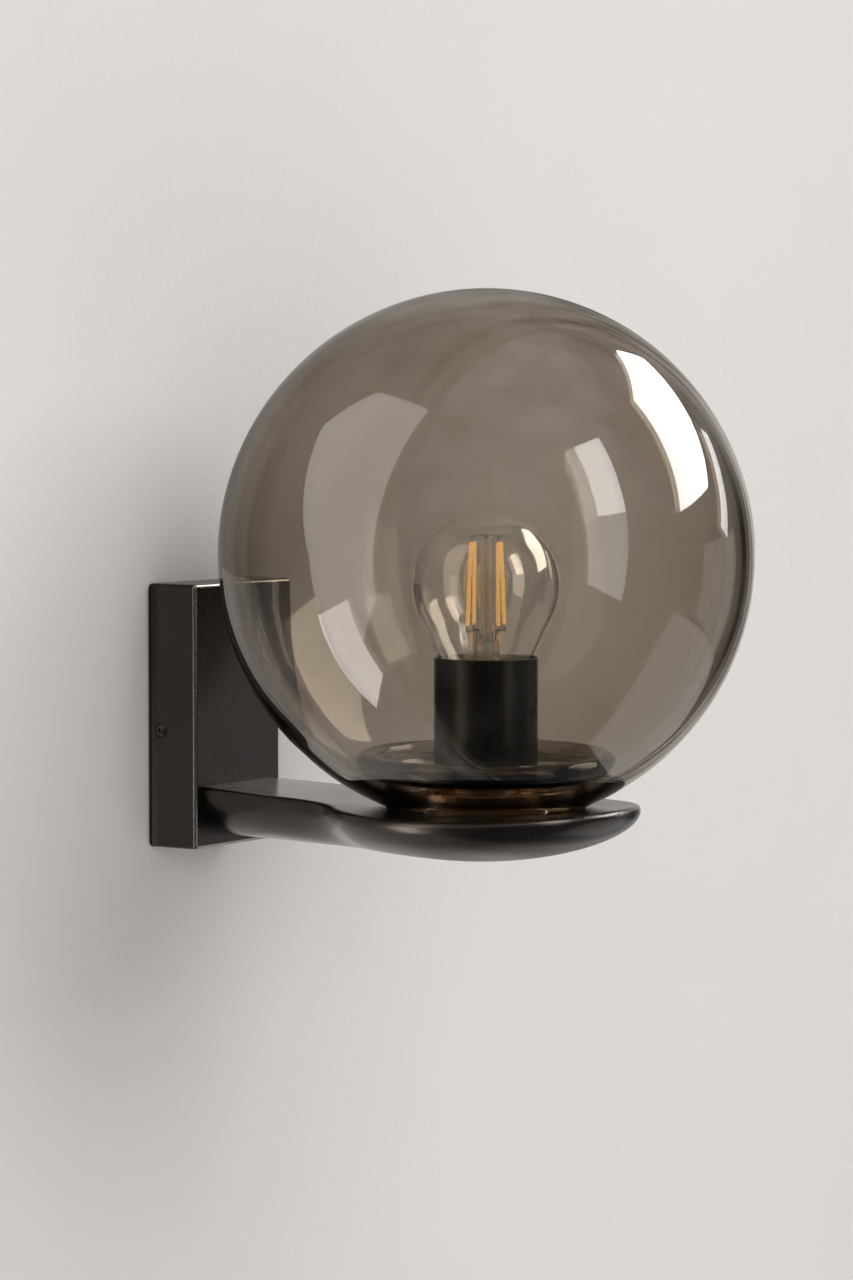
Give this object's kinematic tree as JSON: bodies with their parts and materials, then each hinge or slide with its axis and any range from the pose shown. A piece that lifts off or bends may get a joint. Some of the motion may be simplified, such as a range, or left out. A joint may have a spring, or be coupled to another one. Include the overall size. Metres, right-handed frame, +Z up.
{
  "type": "globe wall sconce",
  "caption": "Wall sconce with a rectangular wall box, a spoon-shaped arm ending in a round dish, and a smoked glass globe over a filament bulb.",
  "frame": {"origin": "middle of the wall box's open back, on the wall's face", "axes": "+Y into the wall, +Z up, the light stands out along -Y"},
  "size_m": [0.2149, 0.2537, 0.2298],
  "materials": {
    "black_metal": "satin near-black powder coat with a fine grain",
    "black_screw": "blackened steel",
    "dark_bronze": "polished dark bronze plating",
    "zinc_steel": "bright zinc-plated steel",
    "brass": "turned brass",
    "plated_metal": "nickel-plated thin sheet",
    "solder": "dull tin",
    "rubber": "soft black rubber",
    "smoked_glass": "smoked brown-grey clear glass",
    "clear_glass": "clear thin glass",
    "black_plastic": "moulded black phenolic",
    "pale_plastic": "off-white moulded nylon",
    "phosphor": "pale yellow phosphor over a straight strip",
    "support_wire": "drawn wire",
    "black_enamel": "black glass insulator",
    "circuit_board": "green circuit board",
    "brown_insulation": "brown wire insulation",
    "blue_insulation": "blue wire insulation",
    "earth_insulation": "green wire insulation with a yellow stripe"
  },
  "bodies": {
    "bracket": {"wall_bracket": "zinc_steel", "cable_grommet": "rubber"},
    "lamp": {"box_cover": "black_metal", "mounting_plate": "zinc_steel", "clamp_nuts": "zinc_steel", "arm_washers": "zinc_steel", "arm_screws": "zinc_steel", "arm": "black_metal", "globe_gasket": "rubber", "gallery": "dark_bronze", "gallery_base": "zinc_steel", "holder_ring": "dark_bronze", "nipple": "brass", "lock_washer": "zinc_steel", "lock_nut": "brass", "holder_cup": "black_metal", "holder_cap": "black_plastic", "holder_body": "black_plastic", "threaded_shell": "plated_metal", "side_contact": "brass", "contact_post": "brass", "holder_terminals": "brass", "holder_terminal_screws": "zinc_steel", "terminal_block": "pale_plastic", "terminal_tubes": "brass", "terminal_screws": "zinc_steel", "block_screws": "zinc_steel", "live_wire": "brown_insulation", "neutral_wire": "blue_insulation", "earth_wire": "earth_insulation", "earth_tag": "solder", "earth_screw": "brass"},
    "globe_body": {"globe": "smoked_glass"},
    "bulb": {"bulb_envelope": "clear_glass", "bulb_stem": "clear_glass", "filaments": "phosphor", "filament_supports": "support_wire", "bulb_cap": "plated_metal", "cap_insulator": "black_enamel", "cap_tip": "solder", "driver_board": "circuit_board"},
    "screw_left": {"side_screw_left": "black_screw"},
    "screw_right": {"side_screw_right": "black_screw"},
    "leaf": {"contact_leaf": "brass"}
  },
  "joints": [
    {"name": "cover_pull", "type": "slide", "parent": "bracket", "child": "lamp", "axis": [0, -1, 0], "range_m": [0, 0.03]},
    {"name": "globe_lift", "type": "slide", "parent": "lamp", "child": "globe_body", "axis": [0, 0, 1], "range_m": [0, 0.13]},
    {"name": "bulb_lift", "type": "slide", "parent": "lamp", "child": "bulb", "axis": [0, 0, 1], "range_m": [0, 0.055]},
    {"name": "screw_left_turn", "type": "hinge", "parent": "lamp", "child": "screw_left", "pos_m": [-0.03, -0.007, -0.006], "axis": [-1, 0, 0], "continuous": true},
    {"name": "screw_right_turn", "type": "hinge", "parent": "lamp", "child": "screw_right", "pos_m": [0.03, -0.007, -0.006], "axis": [1, 0, 0], "continuous": true},
    {"name": "contact_bend", "type": "hinge", "parent": "lamp", "child": "leaf", "pos_m": [-0.009, -0.1462, -0.017], "axis": [0, 1, 0], "range_deg": [0, 3], "stiffness_Nm_per_rad": 0.15}
  ]
}
